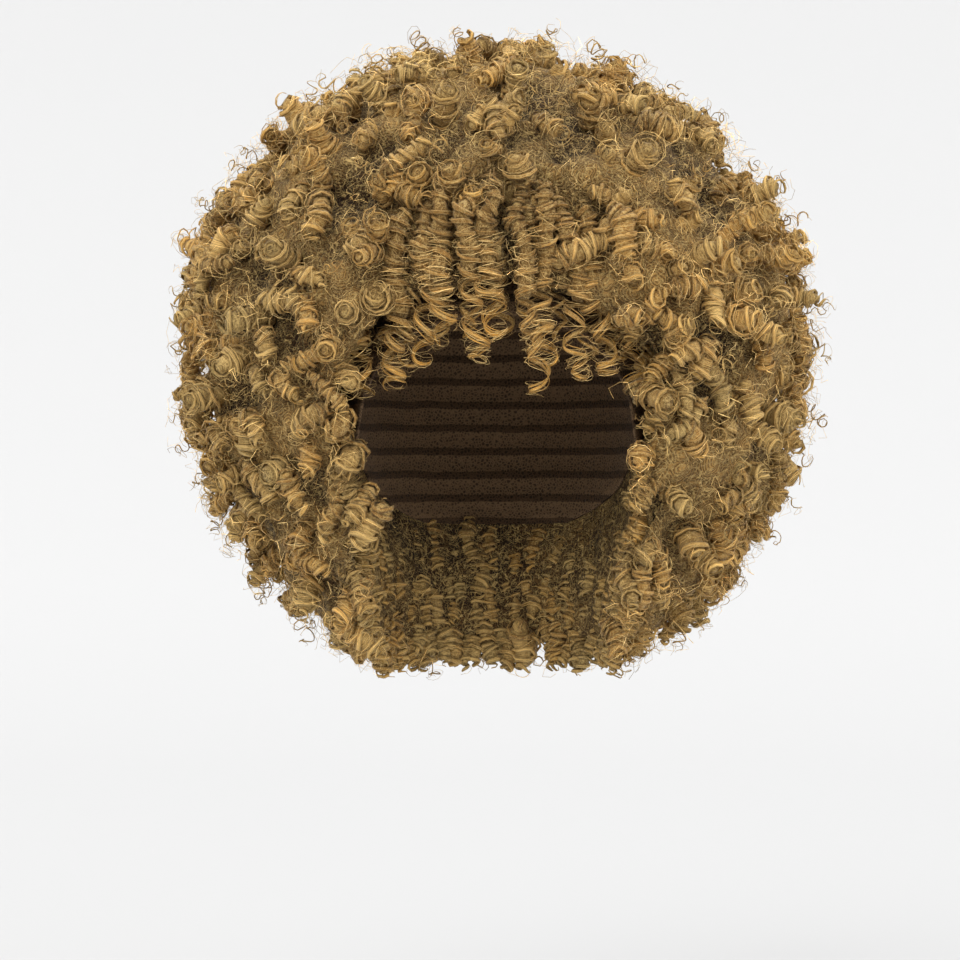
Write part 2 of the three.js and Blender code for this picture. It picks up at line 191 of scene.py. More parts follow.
class Strands:
    """Closed tubes gathered for one piece."""

    def __init__(self):
        self.points, self.faces, self.uvs, self.tints, self.caps, self.flows = [], [], [], [], [], []
        self.count = 0
        self.rows = 0

    def add(self, centre, outward, wide, thick, tints, sides=3, ridges=0.0, inner=1.0, groove=1.0, reach=1.0,
            around=False):
        """centre (S, n, 3) in mm, outward (S, n, 3), wide and thick (S, n) half sizes, tints (S, n, 3).

        ridges is how uneven the tube is, with painted light where it swells and painted shade where it sinks,
        inner how thick it is on the side away from outward, groove how much painted shade darkens that side,
        and reach how often the streaks repeat along it. With around the streaks run round the tube.
        """
        s, n = centre.shape[:2]
        t = unit(np.gradient(centre, axis=1))
        nrm = unit(outward - np.sum(outward * t, -1, keepdims=True) * t)
        b = np.cross(t, nrm)
        phi = np.pi + 2 * np.pi * np.arange(sides) / sides
        lift = np.where(np.cos(phi) < -0.1, inner, 1.0) * np.cos(phi)
        rate = rng.uniform(4, 16, (s, 1, sides)) * max(reach, 1) / 3
        ridge = np.sin(rng.uniform(0, 6.3, (s, 1, sides)) + np.linspace(0, 1, n)[None, :, None] * rate)
        swell = 1 + ridges * ridge
        ring = (thick[..., None, None] * (lift * swell)[..., None] * nrm[:, :, None]
                + wide[..., None, None] * (np.sin(phi) * (1 + 0.4 * (swell - 1)))[..., None] * b[:, :, None])
        pts = centre[:, :, None] + ring
        base = self.count + (np.arange(s) * n * sides)[:, None, None]
        j = np.arange(n - 1)[None, :, None]
        k = np.arange(sides)[None, None, :]
        k2 = (k + 1) % sides
        low, high = base + j * sides, base + (j + 1) * sides
        quads = np.stack(np.broadcast_arrays(low + k, low + k2, high + k2, high + k), -1)
        self.faces.append(quads.reshape(-1, 4))
        row = self.rows + np.arange(s)[:, None, None]
        u0, u1 = np.broadcast_arrays(j / (n - 1) + 0 * row * k, (j + 1) / (n - 1) + 0 * row * k)
        v0, v1 = np.broadcast_arrays(row + (k + 0.0) / sides + 0 * j, row + (k + 1.0) / sides + 0 * j)
        self.uvs.append(np.stack([np.stack([u0, v0], -1), np.stack([u0, v1], -1),
                                  np.stack([u1, v1], -1), np.stack([u1, v0], -1)], -2).reshape(-1, 2))
        flow = self.uvs[-1].copy()
        line = np.broadcast_to(row[..., None], quads.shape).reshape(-1)
        flow[:, 0] *= reach
        if around:
            flow = np.stack([flow[:, 1] - line, line + flow[:, 0]], -1)
        self.flows.append(flow)
        self.points.append(pts.reshape(-1, 3))
        # Painted shade: the side away from outward is darker by groove, and the ridges get painted light
        # where they swell and painted shade where they sink.
        depth = (1 - np.cos(phi)) / 2
        shade = (1 - (1 - groove) * depth[None, None]) * (1 + 0.9 * ridges * ridge)
        self.tints.append((np.repeat(tints[:, :, None], sides, 2) * shade[..., None]).reshape(-1, 3))
        for i in range(s):
            first = self.count + i * n * sides
            self.caps.append((first, n, sides, self.rows + i))
        self.count += s * n * sides
        self.rows += s

    def build(self, name):
        """One mesh of all the tubes, with the uv map for baking, the one that streaks follow and the tint."""
        pts = np.concatenate(self.points) * MM
        quads = np.concatenate(self.faces)
        uv = np.concatenate(self.uvs)
        cap_uv = []
        cap_loops = []
        cap_sizes = []
        for first, n, sides, row in self.caps:
            last = first + (n - 1) * sides
            cap_loops += [first + k for k in range(sides)][::-1] + [last + k for k in range(sides)]
            cap_sizes += [sides, sides]
            cap_uv += [(0.0, row + k / sides) for k in range(sides)][::-1]
            cap_uv += [(1.0, row + k / sides) for k in range(sides)]
        loops = np.concatenate([quads.ravel(), np.array(cap_loops)]).astype(np.int32)
        sizes = np.concatenate([np.full(len(quads), 4), np.array(cap_sizes)]).astype(np.int32)
        uv = np.concatenate([uv, np.array(cap_uv)])
        me = bpy.data.meshes.new(name)
        me.vertices.add(len(pts))
        me.vertices.foreach_set("co", pts.astype(np.float32).ravel())
        me.loops.add(len(loops))
        me.loops.foreach_set("vertex_index", loops)
        starts = np.concatenate([[0], np.cumsum(sizes)[:-1]]).astype(np.int32)
        me.polygons.add(len(sizes))
        me.polygons.foreach_set("loop_start", starts)
        me.polygons.foreach_set("use_smooth", np.ones(len(sizes), bool))
        me.update(calc_edges=True)
        layer = me.uv_layers.new(name="OFBake")
        uv[:, 1] /= self.rows
        layer.data.foreach_set("uv", uv.astype(np.float32).ravel())
        layer = me.uv_layers.new(name="strand")
        flow = np.concatenate(self.flows + [np.array(cap_uv)])
        layer.data.foreach_set("uv", flow.astype(np.float32).ravel())
        paint(me, np.concatenate(self.tints))
        me.validate()
        return add_object(name, me)


def linear(r, g, b):
    """A screen colour, 0 to 255, in linear RGB."""
    c = np.array([r, g, b]) / 255.0
    return np.where(c <= 0.04045, c / 12.92, ((c + 0.055) / 1.055) ** 2.4)


# Painted shade: the first colour below is a dark brown that stands for the shade deep in the hair. It is
# given to strands at their roots and to the tangle's valleys.
ROOT_SHADE = linear(92, 64, 28)
MIDDLE = linear(187, 141, 74)
TIP = linear(217, 169, 88)
GOLD = linear(236, 174, 74)
KHAKI = linear(201, 170, 108)
PALE = linear(231, 200, 139)


def tones(s, count, light, tip=TIP, spread=0.16, dusty=None):
    """Colours along strands, dark at the root with painted shade of the hair's depth, and pale at the tip, in
    linear RGB, (S, n, 3).
    """
    s = s[None, :, None]
    start = rng.uniform(-0.06, 0.1, (count, 1, 1))
    if dusty is None:
        dusty = rng.uniform(0, 0.6, count)
    col = ROOT_SHADE + (MIDDLE - ROOT_SHADE) * smooth(0.12 + start, 0.62 + start, s)
    col = col + (tip - col) * smooth(0.62 + start, 1.0, s) * rng.uniform(0.4, 1.0, (count, 1, 1))
    col = col + (KHAKI - col) * dusty[:, None, None] * smooth(0.3, 0.7, s)
    return col * light[:, None, None] * np.exp(rng.normal(0, spread, (count, 1, 1)))


CLUMP_SCALE, CLUMP_SHIFT = 24, Vector((3, 1, 5))
PATCH_WIDTH = 34.0


def clumps(p):
    """Which points p (R, 3) lie in clumps of hair, above zero, and which in the valleys between them."""
    return np.array([bnoise.noise(Vector(x) * CLUMP_SCALE * MM + CLUMP_SHIFT) for x in p])


def dustiness(p):
    """How far the hair near points p (R, 3) leans from gold to khaki, in patches, least above the fringe."""
    patch = np.array([bnoise.noise(Vector(x) / PATCH_WIDTH) for x in p])
    return np.clip(0.42 + 0.9 * patch - 0.35 * over_brow(p) + rng.uniform(-0.3, 0.3, len(p)), 0.0, 0.95)


def over_brow(p):
    """How near points p (R, 3) are to the middle of the front, above the fringe, from 0 to 1."""
    return np.exp(-(p[:, 0] / 75) ** 2 - ((p[:, 2] - 15) / 50) ** 2) * (p[:, 1] < 0)


def fill_curls(store, path, u, radius, along, shade, turns):
    """The frizz that fills curls, at shares along of their paths, narrower at its end and darker there with
    painted shade.
    """
    at = np.round(along * (path.shape[1] - 1)).astype(int)
    filled = 0.84 * radius[:, at] - 0.25
    filled[:, -1] *= 0.6
    shade[:, -1] *= 0.6
    store.add(path[:, at], u[:, at], filled, filled, shade, 6, ridges=0.08, reach=turns, around=True)


FIBRE_POINTS = 10


def loose_fibres(store, path, u, v, coil, turns, light, dusty, n):
    """As many as n fibres that have come loose from curls and lie round them."""
    last = path.shape[1] - 1
    chosen = rng.integers(0, len(path), n)
    step = np.linspace(0, 1, FIBRE_POINTS)
    along = np.clip(rng.uniform(0.3, 1.0, (n, 1)) + step * rng.uniform(-0.3, 1.6, (n, 1)) / turns, 0, 1)
    low = np.minimum((along * last).astype(int), last - 1)
    part = (along * last - low)[..., None]
    rows = chosen[:, None]
    base, fu, fv = (a[rows, low] * (1 - part) + a[rows, low + 1] * part for a in (path, u, v))
    angle = rng.choice([-1, 1], n)[:, None] * step * 2 * np.pi * rng.uniform(0.6, 1.2, (n, 1))
    angle = angle + rng.uniform(0, 2 * np.pi, (n, 1))
    wide = coil[chosen][:, None] * rng.uniform(1.05, 1.5, (n, 1)) * (1 - 0.3 * smooth(0.9, 1, along))
    wide = wide + 0.5 * np.sin(step * rng.uniform(3, 9, (n, 1)) + rng.uniform(0, 6.3, (n, 1)))
    away = np.cos(angle)[..., None] * fu + np.sin(angle)[..., None] * fv
    thick = FIBRE * rng.uniform(0.75, 1.2, (n, 1)) + 0 * along
    centre = base + wide[..., None] * away + wobble(step, n, 0.5, (1, 2))
    # Pale and a third lighter: partly the loose fibres' own paler colour, partly painted light for light
    # shining through them.
    pale = tones(np.full(FIBRE_POINTS, 0.95), n, light[chosen] * 1.3, PALE, 0.2, 0.4 + 0.5 * dusty[chosen])
    store.add(centre, away, thick, thick, pale)


def curls(store, p0, p1, p2, coil, turns, light, halo, per_curl=0.0, pitch=4.3, strands=1, steps=8.3,
          close=(0.3, 0.7), tip=TIP, fill=0.54, depth=0.55, loose=0.08, stalk=0.06, root=0.36, sway=1.2,
          dusty=None, ribbon=True, fine=0.28, opening=0.0, core=1.0, dim=0.74, stray=0.5):
    """Corkscrews along the paths p0 p1 p2 (R, 3): a wound lock of fine hair with strands that stray from it.

    coil is each curl's radius, pitch the length of a turn and steps the points in one. close is how much
    narrower the ends are, fill how much of the pitch the ribbon covers, depth its half thickness and loose
    how uneven the radius is. stalk is the share of the path before the first turn, and root how far from its
    root, which is painted dark with painted shade of the hair's depth, a curl starts. sway is how far the
    path wanders.
    fine is the half thickness of the strands beside the ribbon, and stray how far they lie from it, in turns.
    opening spreads the last turns, and core and dim are how long and how light the frizz inside is: dim
    darkens it as painted shade inside the coil. per_curl loose fibres for each curl go into halo.
    """
    count = len(p0)
    if count == 0:
        return
    dusty = dustiness(p2) if dusty is None else np.full(count, dusty)
    # Shares of the path, with the last turns drawn together
    q = np.concatenate([[0], np.linspace(stalk, 1.0, int(turns * steps) + 1)])
    path = bezier(p0, p1, p2, (q - 0.1 * q ** 7) / 0.9) + wobble(q, count, sway, (1, 2, 4))
    t = unit(np.gradient(path, axis=1))
    u, v = transport(t, unit(rng.normal(size=(count, 3))))
    hand = rng.choice([-1, 1], count)[:, None]
    theta = 2 * np.pi * turns * np.clip((q - stalk) / (1 - stalk), 0, 1)[None, :] + 0 * coil[:, None]
    theta = theta * (1 - opening * smooth(0.45, 1.0, q) * q)[None, :]
    theta = theta + 0.4 * np.sin(theta * rng.uniform(0.2, 0.5, (count, 1)) + rng.uniform(0, 6.3, (count, 1)))
    shrink = 1 - rng.uniform(*close, (count, 1))
    grow = (0.45 + 0.55 * smooth(0.0, 0.3, q))[None, :]
    grow = grow * (1 - shrink * smooth(1 - 1.8 / turns, 1.0, q)[None, :])
    uneven = 1 + loose * np.sin(theta * rng.uniform(0.18, 0.43, (count, 1)) + rng.uniform(0, 6.3, (count, 1)))
    radius = coil[:, None] * grow * uneven
    turned = hand * theta + rng.uniform(0, 2 * np.pi, count)[:, None]
    thin = (0.6 + 0.4 * smooth(0, 0.25, q)) * (1 - 0.8 * smooth(1 - 0.8 / turns, 1.0, q) ** 1.3)
    scale = np.clip(coil / 4.6, 0.6, 1.15)[:, None]
    if ribbon:
        # Short of the end, so that the last turn is an open ring
        along = np.linspace(stalk, core * (0.97 - 0.5 / turns), int(turns) + 2)
        # Painted shade: the frizz inside the coil is darkened by dim.
        shade = tones(np.maximum(along, 0.58), count, light * dim, tip, 0.08, dusty)
        fill_curls(store, path, u, radius, along, shade, turns)
    for k in range(strands + ribbon):
        wound = ribbon and k == 0
        amount, wave = (0.0, 0.12) if wound else (stray, stray)
        shift = rng.uniform(-amount, amount, (count, 1)) * 2 * np.pi
        slow = theta * rng.uniform(0.2, 0.9, (count, 1))
        shift = shift + wave * np.sin(slow + rng.uniform(0, 6.3, (count, 1)))
        ang = turned + hand * shift
        swell = 0.05 * np.sin(theta * rng.uniform(0.6, 1.7, (count, 1)) + rng.uniform(0, 6.3, (count, 1)))
        r = radius * (1 + swell) + (0.0 if wound else 1.0) * rng.uniform(-0.5, 0.8, (count, 1)) * ribbon
        out = np.cos(ang)[..., None] * u + np.sin(ang)[..., None] * v
        rate = rng.uniform(0.5, 1.3, (count, 1))
        width = 1 + 0.16 * np.sin(theta * rate + rng.uniform(0, 6.3, (count, 1)))
        size = width * thin[None, :] * scale
        if wound:
            store.add(path + r[..., None] * out, out, fill * pitch / 2 * size, depth * size,
                      tones(np.maximum(q, root), count, light, tip, 0.05, dusty), 4, ridges=0.16, inner=0.6,
                      groove=0.6, reach=turns)
        else:
            half = (fine if ribbon else 0.55) * size
            store.add(path + r[..., None] * out, out, half, half,
                      tones(np.maximum(q, root), count, light * 1.12, tip, 0.12, dusty), 3, ridges=0.1,
                      inner=0.8, groove=0.75, reach=turns)
    loose_fibres(halo, path, u, v, coil, turns, light, dusty, int(count * per_curl))


def wisps(store, p0, p1, p2, coil, turns, light, steps, wander=2.0):
    """Single fine strands, loosely curled along their paths."""
    count = len(p0)
    if count == 0:
        return
    s = np.linspace(0, 1, int(turns * steps) + 1)
    path = bezier(p0, p1, p2, s) + wobble(s, count, wander, (1, 2, 3))
    t = unit(np.gradient(path, axis=1))
    u, v = transport(t, unit(rng.normal(size=(count, 3))))
    hand = rng.choice([-1, 1], count)[:, None]
    theta = 2 * np.pi * turns * s[None, :] * rng.uniform(0.7, 1.15, (count, 1))
    ang = hand * theta + rng.uniform(0, 2 * np.pi, (count, 1))
    out = np.cos(ang)[..., None] * u + np.sin(ang)[..., None] * v
    r = coil[:, None] * (0.5 + 0.5 * smooth(0, 0.4, s))[None, :]
    r = r * (1 + 0.25 * np.sin(theta * 0.31 + rng.uniform(0, 6.3, (count, 1))))
    thin = FIBRE * rng.uniform(0.75, 1.2, (count, 1)) + 0 * r
    # Pale towards the tip: partly the fine strands' own colour, partly painted light for light shining
    # through them.
    store.add(path + r[..., None] * out, out, thin, thin,
              tones(np.clip(s + 0.6, 0, 1), count, light, PALE, 0.25, 0.25 + 0.7 * dustiness(p2)))


UP = np.array([0.0, 0.0, 1.0])
SECTIONS = ["crown", "front", "right_upper", "back_upper", "left_upper", "right_lower", "back_lower",
            "left_lower"]


def section_of(az, z):
    """The numbers in SECTIONS of the parts of the hair that azimuths and heights lie in."""
    turned = np.mod(az + 45, 360)
    upper = 1 + (turned // 90).astype(int) % 4
    back = (turned >= 180) & (turned < 270)
    left = (turned < 45) | (turned >= 270)
    lower = np.where(back, 6, np.where(left, 7, 5))
    return np.where(z > CROWN_LEVEL, 0, np.where(z > LOWER_LEVEL, upper, lower))


# How far the hair behind the fringe is moved back, and the half widths and heights where that fades out
RECESS_DEPTH, RECESS_SIDES, RECESS_HEIGHTS = 13.0, (50, 64), (16, 34)


def recess(p):
    """Points moved back where the fringe starts, so that it lies in front of the other hair."""
    x, y, z = p[..., 0], p[..., 1], p[..., 2]
    w = (1 - smooth(*RECESS_SIDES, np.abs(x))) * (1 - smooth(*RECESS_HEIGHTS, z)) * (y < 0)
    out = p.copy()
    out[..., 1] = y + RECESS_DEPTH * w
    return out


# How fast a curl that lies along the hair bends in with the hair's roundness
HAIR_ROUND = 320


def outer_paths(az, drop, depth, lie, below, rise):
    """Paths that come out of the hair and bend over to end lie millimetres to one side of there."""
    count = len(az)
    n = hair_normal(az, drop, depth)
    over, under = (hair_surface(az, np.clip(drop + step, 0, 1), depth) for step in (-0.02, 0.02))
    fall = unit(under - over)
    sideways = rng.normal(size=(count, 3))
    sideways = unit(sideways - np.sum(sideways * n, -1, keepdims=True) * n)
    d = unit(sideways + fall * (0.35 + 0.9 * smooth(0.3, 0.7, drop))[:, None])
    tip = recess(hair_surface(az, drop, depth))
    lie = lie[:, None]
    middle = tip - d * lie - n * (rise[:, None] + lie ** 2 / HAIR_ROUND)
    return middle - n * below[:, None] - d * 0.15 * lie, middle, tip


stores = {name: Strands() for name in SECTIONS}
fuzz = {name: Strands() for name in SECTIONS}

# The level of clumps() under which curls are seldom, and the share of them that is left out there
VALLEY, LEFT_OUT = -0.2, 0.96

# The place of the fringe's roots: half its width, and its heights
ROOTS_HALF, ROOTS_LOW, ROOTS_HIGH = 52, -60, 5


def clear_of_fringe(p):
    """Outside the face opening and not where the fringe starts, and not in every valley."""
    sparse = (clumps(p) < VALLEY) & (rng.uniform(0, 1, len(p)) < LEFT_OUT)
    x, y, z = p.T
    roots = (np.abs(x) < ROOTS_HALF) & (y < 0) & (z < ROOTS_HIGH) & (z > ROOTS_LOW)
    return ~sparse & ~in_opening(p, 4.0) & ~roots


# Curls that end further back than BACK_FROM are plainer, because there are many and they are seen from afar
BACK_FROM = 45
NEAR_DETAIL = {"steps": 8.4}
BACK_DETAIL = {"strands": 0, "steps": 7.3}
PITCH = 4.3
FEWEST_TURNS, MOST_TURNS = 3, 16


def wind(az, z, root, middle, tip, coil, light, pitch, **more):
    """Curls with as many turns as their lengths call for."""
    length = np.linalg.norm(middle - root, axis=1) + np.linalg.norm(tip - middle, axis=1)
    turns = np.clip(np.round(1.02 * length / pitch), FEWEST_TURNS, MOST_TURNS)
    back = tip[:, 1] > BACK_FROM
    for number in np.unique(turns):
        for far, detail in ((False, NEAR_DETAIL), (True, BACK_DETAIL)):
            same = np.flatnonzero((turns == number) & (back == far))
            sec = section_of(az[same], z[same])
            for i, name in enumerate(SECTIONS):
                c = same[sec == i]
                curls(stores[name], root[c], middle[c], tip[c], coil[c], number, light[c], fuzz[name],
                      pitch=pitch, **(detail | more))


# How much darker the hair is over the brow, where the fringe's roots shade it
BROW_SHADE, BROW_SHADE_BELOW = 0.26, 0.3


def outer_curls():
    """The curls that make the outside of the hair: some stand out of it, others lie along it."""
    az, drop, pts = scatter_points(16.0, 5.0, 22000, clear_of_fringe)
    count = len(az)
    standing = rng.uniform(0, 1, count) < 0.5
    tall = standing & (rng.uniform(0, 1, count) < 0.42)

    def either(upright, flat):
        return np.where(standing, rng.uniform(*upright, count), rng.uniform(*flat, count))

    depth = either((5.0, 12.0), (7.0, 12.5))
    depth = np.where(tall, rng.uniform(-2.0, 3.0, count), depth)
    lie = either((2, 8), (10, 27))
    below = np.where(standing, 7.0, 4.0) * rng.uniform(0.9, 1.2, count)
    rise = either((8, 12), (0, 3)) + 9.0 * tall
    root, middle, tip = outer_paths(az, drop, depth, lie, below, rise)
    coil = either((4.8, 7.2), (4.2, 6.2))
    # Painted light: curls higher up are painted up to a tenth lighter, as if lit more from above.
    light = np.exp(rng.normal(-0.02, 0.15, count)) * (1 + 0.1 * smooth(40, 100, pts[:, 2]))
    light = light * (1 - BROW_SHADE * over_brow(pts))
    wind(az, pts[:, 2], root, middle, tip, coil, light, PITCH, per_curl=3.0)


def loose_curls():
    """Thinner, looser curls that stick out a little further."""
    az, drop, pts = scatter_points(26.0, 1.0, 5000, clear_of_fringe)
    count = len(az)
    root, middle, tip = outer_paths(az, drop, rng.uniform(-5.0, 0.0, count), rng.uniform(2, 14, count),
                                    rng.uniform(4, 6, count), rng.uniform(7, 12, count))
    coil = rng.uniform(2.4, 3.6, count)
    light = np.exp(rng.normal(-0.05, 0.12, count))
    wind(az, pts[:, 2], root, middle, tip, coil, light, 4.6, ribbon=False, strands=1, steps=9.3,
         close=(0.6, 1.0), per_curl=1.0, loose=0.14)


def frizz_strands():
    """Fine strands between and over the curls."""
    az, drop, pts = scatter_points(7.3, 2.0, 22000, lambda p: ~in_opening(p, 3.0))
    count = len(az)
    depth = rng.uniform(-1, 11, count)
    root, middle, tip = outer_paths(az, drop, depth, rng.uniform(3, 14, count), rng.uniform(1, 6, count),
                                    rng.uniform(-1, 4, count))
    coil = rng.uniform(1.4, 4.2, count)
    # Painted shade: strands that start deeper in the hair are painted darker, and those near the outside
    # lighter.
    light = np.exp(rng.normal(0.0, 0.2, count)) * (1.35 - 0.35 * smooth(1, 8, depth))
    light = light * (1 - BROW_SHADE * over_brow(pts))
    sec = section_of(az, pts[:, 2])
    for i, name in enumerate(SECTIONS):
        c = np.flatnonzero(sec == i)
        wisps(fuzz[name], root[c], middle[c], tip[c], coil[c], 1.05, light[c], 8)


# The fringe, from left to right: place as a share of half its width, reach as a share of its drop, width as a
# share of a corkscrew's, and swing to the side in millimetres
FRINGE = [
    (-1.0, 1.0, 1.0, -4), (-0.8, 0.99, 1.05, -2), (-0.61, 0.8, 1.0, 3), (-0.42, 0.68, 1.0, -3),
    (-0.22, 0.77, 0.95, 2), (-0.02, 0.62, 1.0, -1), (0.18, 0.98, 0.85, 3), (0.4, 0.79, 1.0, -1),
    (0.6, 0.88, 0.95, 4), (0.8, 0.86, 1.0, 2), (1.0, 0.93, 1.0, 4),
]
# Its coils' radius and pitch, the length of path that makes a turn, and the fringe's distance from the head
FRINGE_COIL, FRINGE_PITCH, FRINGE_TURN, FRINGE_CLEAR = 5.2, 5.2, 5.3, 14


def fringe_reach(x):
    """How far in front of the head's middle the fringe hangs, at a place across it."""
    drop = 0.75 * FRINGE_DROP / HEAD_DROP
    side = HEAD_WIDTH / 2 * np.interp(drop, HEAD_OUTLINE[:, 0], HEAD_OUTLINE[:, 1]) + FRINGE_CLEAR
    front = HEAD_LENGTH / 2 * np.interp(drop, HEAD_OUTLINE[:, 0], HEAD_OUTLINE[:, 2]) + FRINGE_CLEAR
    return front * np.sqrt(1 - (x / side) ** 2)


def fringe_curls(body, loose):
    """The fringe's corkscrews, and a shorter row behind them, painted darker as painted shade."""
    behind = [(p + 0.1, 0.62 + 0.2 * abs(p), 0.9, 0) for p in np.linspace(-1.0, 0.85, 9)]
    for row, table in ((0, FRINGE), (1, behind)):
        for place_x, reach, width, swing in table:
            x = place_x * FRINGE_SPREAD / 2 + rng.uniform(-1.5, 1.5)
            y = -fringe_reach(np.clip(x, -62, 62)) - 4 + 8 * row
            end = np.array([[x + 1.5 * swing, y, -FRINGE_DROP * reach]])
            mid = np.array([[x + rng.uniform(-4, 4), y - 17, 6 - 0.004 * x * x]])
            start = np.array([[x * 0.86 + rng.uniform(-4, 4), y - 4,
                               26 - 0.006 * x * x + rng.uniform(-4, 6)]])
            length = float(np.linalg.norm(end - mid) * 0.85 + np.linalg.norm(mid - start) * 0.8)
            # Painted shade: the row behind is painted darker, and through dim the frizz inside the coils
            # darker still.
            curls(body, start, mid, end, np.array([FRINGE_COIL * width]), round(length / FRINGE_TURN),
                  np.array([0.96 - 0.36 * row]), loose, per_curl=34 - 20 * row, tip=GOLD, strands=5 - 2 * row,
                  steps=9.4, close=(0.5, 0.9), dusty=0.08, fill=0.4, fine=0.26, opening=0.22, core=0.66,
                  root=0.42, sway=2.4, pitch=FRINGE_PITCH, loose=0.14, dim=0.46, stray=0.17)


def cheek_places():
    """Where curls end beside the cheeks: which side, and points no further out than the other hair."""
    places = []
    for side in (-1, 1):
        for z in np.arange(-52, -200, -20.0):
            for y in np.arange(-22, -120, -20.0):
                places.append((side, y + rng.uniform(-5, 5), z + rng.uniform(-5, 5)))
    places = np.array(places)
    side, y, z = places.T
    x = side * (arch_half(z) + rng.uniform(1, 8, len(z)))
    p = np.stack([x, y, z], -1)
    drop = (HAIR_TOP - z) / (HAIR_TOP + HAIR_DROP)
    half = HAIR_WIDTH / 2 * np.interp(drop, HAIR_OUTLINE[:, 0], HAIR_OUTLINE[:, 1])
    front = HAIR_FRONT * np.interp(drop, HAIR_OUTLINE[:, 0], HAIR_OUTLINE[:, 2])
    inside = (x / (half - 8)) ** 2 + (y / (front - 8)) ** 2 < 1
    return side[inside], p[inside]


def cheek_curls():
    """Curls that line the sides of the face opening and hang beside the cheeks."""
    side, tip = cheek_places()
    count = len(tip)
    shift = [side * rng.uniform(4, 10, count), rng.uniform(-3, 8, count), rng.uniform(16, 24, count)]
    middle = tip + np.stack(shift, -1)
    shift = [side * rng.uniform(12, 20, count), rng.uniform(4, 16, count), rng.uniform(2, 10, count)]
    root = middle + np.stack(shift, -1)
    az = np.mod(np.degrees(np.arctan2(root[:, 0], -root[:, 1])), 360)
    # Painted shade: the curls beside the cheeks are painted darker, for the shade by the face opening.
    light = 0.85 * np.exp(rng.normal(0, 0.13, count))
    wind(az, tip[:, 2], root, middle, tip, rng.uniform(3.6, 5.2, count), light, PITCH, per_curl=3.0)


# The rows of curls inside, as drops on the head, and the azimuths between which each row has a curl every so
# many degrees: more at the back, which shows through the face opening
INSIDE_ROWS = (0.74, 0.8, 0.86, 0.92)
INSIDE_SPANS = ((58, 110, 16.0), (110, 250, 10.0), (250, 304, 16.0))
EDGE_ROW, EDGE_SPAN = 0.955, (58, 304, 6.0)
LOWEST_TIP = -217


def inside_curls():
    """Curls that hang inside, below the edge of the cap, with a close row along the lower edge."""
    rows = []
    for row, level in enumerate(INSIDE_ROWS):
        for low_az, high_az, step in INSIDE_SPANS:
            rows += [(a, level) for a in np.arange(low_az + step / 2 * (row % 2), high_az, step)]
    rows += [(a, EDGE_ROW) for a in np.arange(*EDGE_SPAN)]
    az, drop = np.array(rows).T
    az = az + rng.uniform(-2.5, 2.5, len(az))
    drop = drop + rng.uniform(-0.012, 0.012, len(az))
    tip = head_surface(az, drop, np.where(drop < 0.77, 3.0, 1.5)) - 6 * UP
    keep = (tip[:, 2] > LOWEST_TIP) & ~in_opening(tip, 2)
    az, drop, tip = az[keep], drop[keep], tip[keep]
    count = len(az)
    n = unit(tip * (1 - UP))
    middle = tip + n * rng.uniform(5, 9, (count, 1)) + UP * rng.uniform(18, 26, (count, 1))
    root = middle + n * rng.uniform(10, 18, (count, 1)) + UP * 6
    # Painted shade: the curls inside are painted a fifth darker.
    wind(az, tip[:, 2], root, middle, tip, rng.uniform(3.6, 5.2, count), np.full(count, 0.8), 4.4, strands=0,
         steps=6.6, per_curl=1.0)


# Azimuths and drops of a few more curls over one temple, where the scattered ones leave the tangle bare
TEMPLE_SPOTS = [(21, 0.34), (27, 0.325), (33, 0.36), (24, 0.4), (30, 0.415), (26, 0.46), (33, 0.475)]


def temple_curls():
    az, drop = np.array(TEMPLE_SPOTS).T
    count = len(az)
    root, middle, tip = outer_paths(az, drop, rng.uniform(4, 9, count), rng.uniform(4, 16, count),
                                    rng.uniform(5, 7, count), rng.uniform(6, 11, count))
    wind(az, tip[:, 2], root, middle, tip, rng.uniform(4.8, 6.4, count), np.full(count, 0.96), PITCH,
         per_curl=3.0)


fringe, fringe_fuzz = Strands(), Strands()
outer_curls()
loose_curls()
frizz_strands()
fringe_curls(fringe, fringe_fuzz)
cheek_curls()
inside_curls()
temple_curls()


# Solid forms, for the tangled hair under the curls and for the cap. BEYOND is past all of the hair.
BEYOND = 400.0
HEAD_SIDES, HAIR_SIDES = 56, 64


def loft(name, rings):
    """A closed mesh through rings of points (rows, sides, 3)."""
    me = bpy.data.meshes.new(name)
    rings = np.array(rings) * MM
    rows, sides = rings.shape[:2]
    faces = []
    for r in range(rows - 1):
        for k in range(sides):
            first, second = r * sides + k, r * sides + (k + 1) % sides
            faces.append((first, first + sides, second + sides, second))
    faces.append(tuple(range(sides)))
    faces.append(tuple((rows - 1) * sides + k for k in reversed(range(sides))))
    me.from_pydata(rings.reshape(-1, 3).tolist(), [], faces)
    me.validate()
    work = bmesh.new()
    work.from_mesh(me)
    bmesh.ops.recalc_face_normals(work, faces=work.faces)
    work.to_mesh(me)
    work.free()
    return add_object(name, me)


def applied(ob):
    """The object with its modifiers made part of its mesh."""
    graph = bpy.context.evaluated_depsgraph_get()
    me = bpy.data.meshes.new_from_object(ob.evaluated_get(graph))
    ob.modifiers.clear()
    old = ob.data
    ob.data = me
    bpy.data.meshes.remove(old)
    return ob


def cut(ob, *others):
    """The object with the others cut out of it."""
    for other in others:
        mod = ob.modifiers.new("cut", "BOOLEAN")
        mod.operation = "DIFFERENCE"
        mod.solver = "EXACT"
        mod.use_self = True
        mod.object = other
    return applied(ob)


def head_form(name, offset):
    az = np.arange(HEAD_SIDES) * 360.0 / HEAD_SIDES
    drops = np.concatenate([[0, 0.006], np.linspace(0.02, 1.0, 34), [1.4]])
    return loft(name, [head_surface(az, d, offset) for d in drops])


